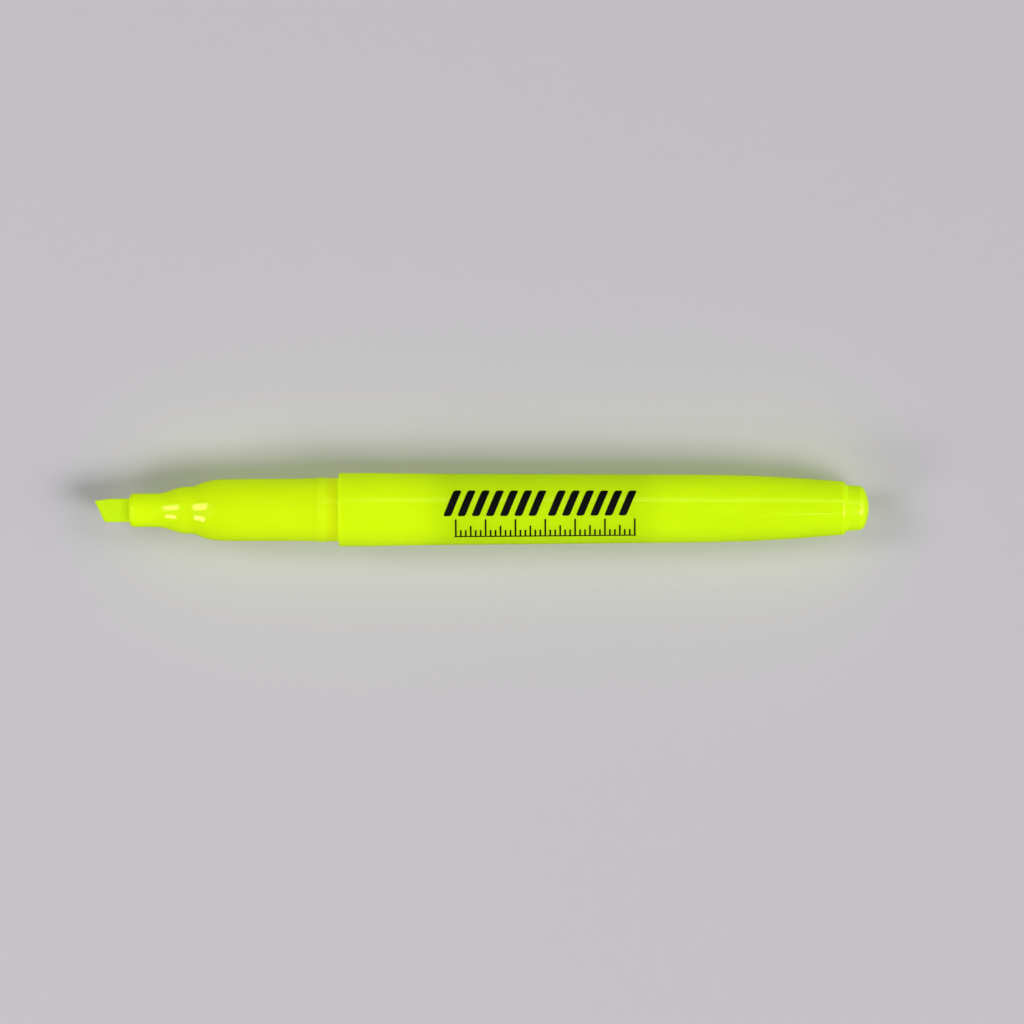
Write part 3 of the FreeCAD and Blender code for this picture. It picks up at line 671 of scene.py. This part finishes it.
def print_strip(bm, rows):
    """rows: (arc, left u, right u) from bottom to top. One closed thin solid."""
    cols = max(1, int(math.ceil(max(b - a for _, a, b in rows) / 1.2)))
    top, low = [], []
    for arc, a, b in rows:
        top.append([bm.verts.new(on_barrel(a + (b - a) * k / cols, arc, PRINT_LIFT)) for k in range(cols + 1)])
        low.append([bm.verts.new(on_barrel(a + (b - a) * k / cols, arc, -PRINT_SINK)) for k in range(cols + 1)])
    for i in range(len(rows) - 1):
        for k in range(cols):
            bm.faces.new((top[i][k], top[i][k + 1], top[i + 1][k + 1], top[i + 1][k]))
            bm.faces.new((low[i][k], low[i + 1][k], low[i + 1][k + 1], low[i][k + 1]))
        bm.faces.new((top[i][0], top[i + 1][0], low[i + 1][0], low[i][0]))
        bm.faces.new((top[i][cols], low[i][cols], low[i + 1][cols], top[i + 1][cols]))
    for k in range(cols):
        bm.faces.new((top[0][k], low[0][k], low[0][k + 1], top[0][k + 1]))
        bm.faces.new((top[-1][k], top[-1][k + 1], low[-1][k + 1], low[-1][k]))


def slanted_bar(bm, left, width, arc0, arc1, lean, corner):
    """A parallelogram with round corners, leaning along u by lean per mm."""
    rows = []
    count = 22
    for i in range(count + 1):
        t = i / count
        t = 0.5 - 0.5 * math.cos(math.pi * t)
        arc = arc0 + (arc1 - arc0) * t
        edge = min(arc - arc0, arc1 - arc)
        cut = 0.0
        if edge < corner:
            cut = corner - math.sqrt(max(0.0, corner**2 - (corner - edge) ** 2))
        a = left + lean * (arc - arc0) + cut
        b = left + width + lean * (arc - arc0) - cut
        rows.append((arc, a, b))
    print_strip(bm, rows)


def make_print():
    bm = bmesh.new()
    low, high = -1.10, 3.12
    # seven bars, a wider gap, six bars
    pitch, width, lean = 2.30, 1.30, 0.42
    u = 17.0
    for i in range(13):
        slanted_bar(bm, u, width, low, high, lean, 0.32)
        u += pitch + (0.85 if i == 6 else 0.0)
    # the fine scale: a base line with ticks, every sixth one longest and every third one longer
    base0, base1 = -5.05, -4.80
    left, right = 18.8, 48.4
    slanted_bar(bm, left, right - left, base0, base1, 0.0, 0.08)
    ticks = 36
    for i in range(ticks + 1):
        x = left + 0.12 + (right - left - 0.24 - 0.28) * i / ticks
        tall = -1.62 if i % 6 == 0 else (-2.75 if i % 3 == 0 else -3.55)
        slanted_bar(bm, x, 0.28, base1 - 0.02, tall, 0.0, 0.06)
    return finish_mesh(bm, "barrel_print", 30)


marks = make_print()
marks.data.materials.append(M_INK)
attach(marks, "pen")

# ------------------------------------------------------------------ cap shell
cap_line = [(0.02, 5.60)] + rounding(0.26, 5.76, 0.24, 180, 90, 7)
cap_line += [(0.9, 6.0), (3.0, 6.0), (6.0, 5.995), (9.0, 5.99), (10.4, 5.985)]
cap_line += [(10.62, 5.965), (10.74, 5.90), (10.82, 5.78), (10.92, 5.70), (11.08, 5.672)]
cap_line += hermite([(11.4, 5.665), (20.0, 5.53), (30.0, 5.36), (40.0, 5.165), (44.6, 5.06)], 0.7)
cap_line += rounding(45.0, 0.35, 4.68, 86, 44, 12)
cap_line += hermite([(48.75, 3.02), (49.2, 2.45), (49.55, 1.8), (49.8, 1.1), (49.92, 0.55)], 0.12)
cap_line += [(49.93, 0.0), (47.2, 0.0), (47.2, 4.33), (24.0, 4.33), (19.8, 5.42), (5.0, 5.42), (0.5, 5.42), (0.14, 5.46), (0.02, 5.54)]
cap = lathe("cap_tube", cap_line, cap_point, 176)
cap.data.materials.append(M_CAP)
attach(cap, "cap")
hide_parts("cap_shell")

# the clip: moulded with the cap, drawn upright and turned to its place
ROLL = math.radians(117.9)


def clip_point(s, y, z):
    c, d = math.cos(ROLL), math.sin(ROLL)
    return cap_point(s, y * c - z * d, y * d + z * c)


def make_clip():
    """An outline in the plane of the axis, given width with rounded edges."""
    line = [(48.2, 3.6), (48.95, 4.6), (49.3, 5.7), (49.35, 6.6), (49.15, 7.35), (48.75, 7.98), (48.15, 8.45), (47.4, 8.72), (46.4, 8.83)]
    line += [(44.0, 8.84), (40.0, 8.82), (34.0, 8.79), (28.0, 8.74), (22.0, 8.68), (17.5, 8.63), (15.2, 8.60)]
    line += [(14.2, 8.57), (13.45, 8.43), (12.95, 8.17), (12.72, 7.82), (12.75, 7.45), (13.0, 7.12), (13.4, 6.80), (13.95, 6.42), (14.5, 6.12), (15.0, 5.95), (15.5, 5.90)]
    line += [(16.0, 5.99), (16.5, 6.26), (17.1, 6.68), (17.8, 7.04), (18.8, 7.26), (20.5, 7.36)]
    line += [(26.0, 7.42), (32.0, 7.46), (38.0, 7.49), (40.5, 7.47), (41.8, 7.36), (42.6, 7.10), (43.15, 6.65), (43.45, 6.05), (43.6, 5.4), (43.6, 4.62)]
    line += [(46.0, 4.62), (47.6, 4.0)]
    pts = [Vector((s, z, 0)) for s, z in line]
    # finer outline
    dense = []
    n = len(pts)
    for i in range(n):
        a, b = pts[i], pts[(i + 1) % n]
        parts = max(1, int((b - a).length / 1.4))
        for k in range(parts):
            dense.append(a + (b - a) * (k / parts))
    n = len(dense)
    normals = []
    for i in range(n):
        d = dense[(i + 1) % n] - dense[i - 1]
        normals.append(Vector((d.y, -d.x, 0)).normalized())
    area = sum(dense[i].x * dense[(i + 1) % n].y - dense[(i + 1) % n].x * dense[i].y for i in range(n))
    if area > 0:
        normals = [-v for v in normals]
    bm = bmesh.new()
    soft = 0.38
    loops = []
    layers = []
    for k in range(6):
        a = math.radians(90 * k / 5)
        layers.append(("low", soft * (1 - math.sin(a)), soft * (1 - math.cos(a))))
    for k in range(5, -1, -1):
        a = math.radians(90 * k / 5)
        layers.append(("high", soft * (1 - math.sin(a)), soft * (1 - math.cos(a))))
    for side, inset, drop in layers:
        ring = []
        for p, nrm in zip(dense, normals):
            s, z = p.x, p.y
            half = 2.1 - 0.16 * max(0.0, min(1.0, (30.0 - s) / 17.0))
            q = p + nrm * inset
            y = -half + drop if side == "low" else half - drop
            ring.append(bm.verts.new(clip_point(q.x, y, q.y)))
        loops.append(ring)
    for a, b in zip(loops, loops[1:]):
        for i in range(n):
            j = (i + 1) % n
            bm.faces.new((a[i], a[j], b[j], b[i]))
    caps = [bm.faces.new(loops[0][::-1]), bm.faces.new(loops[-1])]
    bmesh.ops.triangulate(bm, faces=caps, ngon_method="EAR_CLIP")
    return finish_mesh(bm, "pocket_clip", 50)


clip = make_clip()
clip.data.materials.append(M_CAP)
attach(clip, "cap")

# ------------------------------------------------------------------ inner cap
cup_line = [
    (29.9, 3.35), (30.5, 2.95), (43.3, 2.95), (43.6, 2.7), (43.6, 0.0), (46.6, 0.0), (46.6, 3.8), (46.5, 4.05), (46.2, 4.26), (46.0, 4.3),
    (43.4, 4.3), (42.9, 3.6), (33.6, 3.6), (33.1, 4.3), (30.2, 4.3), (30.0, 4.2), (29.9, 4.0),
]
cup = lathe("inner_cap_cup", cup_line, cap_point, 128)
cup.data.materials.append(M_SEAL)
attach(cup, "cap")
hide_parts("inner_cap")

# ---------------------------------------------------- nodes that stay as they are
for node, mat in (("reservoir_core", soaked_fibre()), ("reservoir_wrap", clear_film())):
    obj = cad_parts[node]
    if obj.material_slots:
        for s in obj.material_slots:
            s.material = mat
    else:
        obj.data.materials.append(mat)

# --------------------------------------------------------------------- stage
bpy.ops.mesh.primitive_grid_add(x_subdivisions=8, y_subdivisions=8, size=8.0, location=(0, 0, FLOOR_Z - 0.00001))
floor = bpy.context.object
floor.name = "table"
floor.data.materials.append(table_top())
floor.visible_glossy = False

world = bpy.data.worlds.new("studio")
bpy.context.scene.world = world
world.use_nodes = True
tree = world.node_tree
bg = tree.nodes["Background"]
# Soft fill for the table and the plastic. In reflections the room is dark
# overhead and paler towards the horizon.
ray = tree.nodes.new("ShaderNodeLightPath")
where = tree.nodes.new("ShaderNodeTexCoord")
split = tree.nodes.new("ShaderNodeSeparateXYZ")
tree.links.new(where.outputs["Generated"], split.inputs[0])
height = tree.nodes.new("ShaderNodeMapRange")
height.interpolation_type = "SMOOTHSTEP"
height.inputs["From Min"].default_value = 0.05
height.inputs["From Max"].default_value = 0.62
height.inputs["To Min"].default_value = 0.045
height.inputs["To Max"].default_value = 0.012
tree.links.new(split.outputs["Z"], height.inputs["Value"])
pick = tree.nodes.new("ShaderNodeMix")
pick.data_type = "FLOAT"
pick.inputs[2].default_value = 0.035
tree.links.new(ray.outputs["Is Glossy Ray"], pick.inputs[0])
tree.links.new(height.outputs["Result"], pick.inputs[3])
view = tree.nodes.new("ShaderNodeMix")
view.data_type = "FLOAT"
view.inputs[3].default_value = 0.53
tree.links.new(ray.outputs["Is Camera Ray"], view.inputs[0])
tree.links.new(pick.outputs[0], view.inputs[2])
tree.links.new(view.outputs[0], bg.inputs["Strength"])
bg.inputs["Color"].default_value = (0.985, 0.975, 1.0, 1.0)

scene = bpy.context.scene
scene.view_settings.view_transform = "Standard"
scene.view_settings.look = "None"
scene.view_settings.exposure = 0.0
scene.view_settings.gamma = 1.0

TARGET = Vector((PEN_X + 0.0282, AXIS_Y, AXIS_Z))


# Lights that reach the table alone, and lights that reach all but the table.
table_only = bpy.data.collections.new("lit_table")
table_only.objects.link(floor)
all_but_table = bpy.data.collections.new("lit_pieces")
all_but_table.objects.link(floor)
all_but_table.collection_objects[0].light_linking.link_state = "EXCLUDE"


def soft_box(name, direction, distance, wide, tall, radiance, color=(1.0, 0.99, 1.0), shift=0.0, group=None):
    """An area light aimed at the pen, of a given brightness. Its width lies
    along the pen's axis, and shift moves it that way."""
    data = bpy.data.lights.new(name, "AREA")
    data.shape = "RECTANGLE"
    data.size, data.size_y = wide, tall
    data.energy = radiance * math.pi * wide * tall
    data.color = color
    obj = bpy.data.objects.new(name, data)
    out = Vector(direction).normalized()
    along = (Vector((1, 0, 0)) - out * out.x).normalized()
    across = out.cross(along)
    turn = Matrix((along, across, out)).transposed()
    obj.rotation_euler = turn.to_euler()
    obj.location = TARGET + out * distance + along * shift
    obj.visible_camera = False
    if group:
        obj.light_linking.receiver_collection = group
    scene.collection.objects.link(obj)
    return obj


# Beside the nib: two small bright windows in one wide dim one.
soft_box("left_far", (-0.670, 0.205, 0.714), 0.9, 0.383, 0.330, 5.8)
soft_box("left_near", (-0.701, -0.491, 0.517), 0.9, 0.290, 0.240, 8.6)
soft_box("left_wide", (-0.610, 0.0, 0.792), 0.95, 0.62, 0.95, 0.35)
# Beside the plug: the main light, stronger from the near side.
soft_box("right_near", (0.643, -0.348, 0.6825), 1.8, 1.40, 0.70, 6.4)
soft_box("right_near_table", (0.643, -0.348, 0.6825), 1.8, 1.40, 0.70, 2.9, group=table_only)
soft_box("right_far", (0.643, 0.287, 0.710), 1.8, 1.17, 0.68, 2.6)
soft_box("right_far_pieces", (0.643, 0.287, 0.710), 1.8, 1.17, 0.68, 2.0, group=all_but_table)
soft_box("right_spot", (0.233, -0.40, 0.886), 0.9, 0.062, 0.03, 3.4)
soft_box("right_low", (0.965, -0.10, 0.20), 0.9, 0.20, 0.50, 3.0)
soft_box("tube_a", (0.0, 0.445, 0.895), 1.1, 0.42, 0.014, 8.0, shift=0.170)
soft_box("tube_b", (0.0, 0.555, 0.831), 1.1, 0.42, 0.014, 8.0, shift=0.170)


def side_glow(name, u0, u1, side, half, radiance):
    """The yellow light that the fluorescent body gives off sideways: a strip
    just outside its flank, facing out and down to the table."""
    data = bpy.data.lights.new(name, "AREA")
    data.shape = "RECTANGLE"
    wide, tall = (u1 - u0) * MM, 4.0 * MM
    data.size, data.size_y = wide, tall
    data.energy = radiance * math.pi * wide * tall
    data.color = (0.72, 1.0, 0.0)
    obj = bpy.data.objects.new(name, data)
    out = Vector((0, -side, 1.0)).normalized()
    along = Vector((1, 0, 0))
    obj.rotation_euler = Matrix((along, out.cross(along), out)).transposed().to_euler()
    obj.location = pen_point((u0 + u1) / 2, side * half, 0.0)
    obj.visible_camera = False
    scene.collection.objects.link(obj)
    return obj


for side, word, share in ((1, "far", 1.0), (-1, "near", 0.72)):
    side_glow("glow_barrel_" + word, 0.0, 84.0, side, 6.25, 0.42 * share)
    side_glow("glow_front_" + word, -32.0, 0.0, side, 6.25, 0.36 * share)

# -------------------------------------------------------------------- camera
cam_data = bpy.data.cameras.new("camera")
cam_data.sensor_width = 36.0
cam_data.lens = 301.9
cam_data.clip_start = 0.01
cam_data.clip_end = 20.0
camera = bpy.data.objects.new("camera", cam_data)
camera.location = (PEN_X + 0.0282, AXIS_Y - 0.000475, AXIS_Z + 1.400)
camera.rotation_euler = (0.0, 0.0, -0.0032)
scene.collection.objects.link(camera)
scene.camera = camera
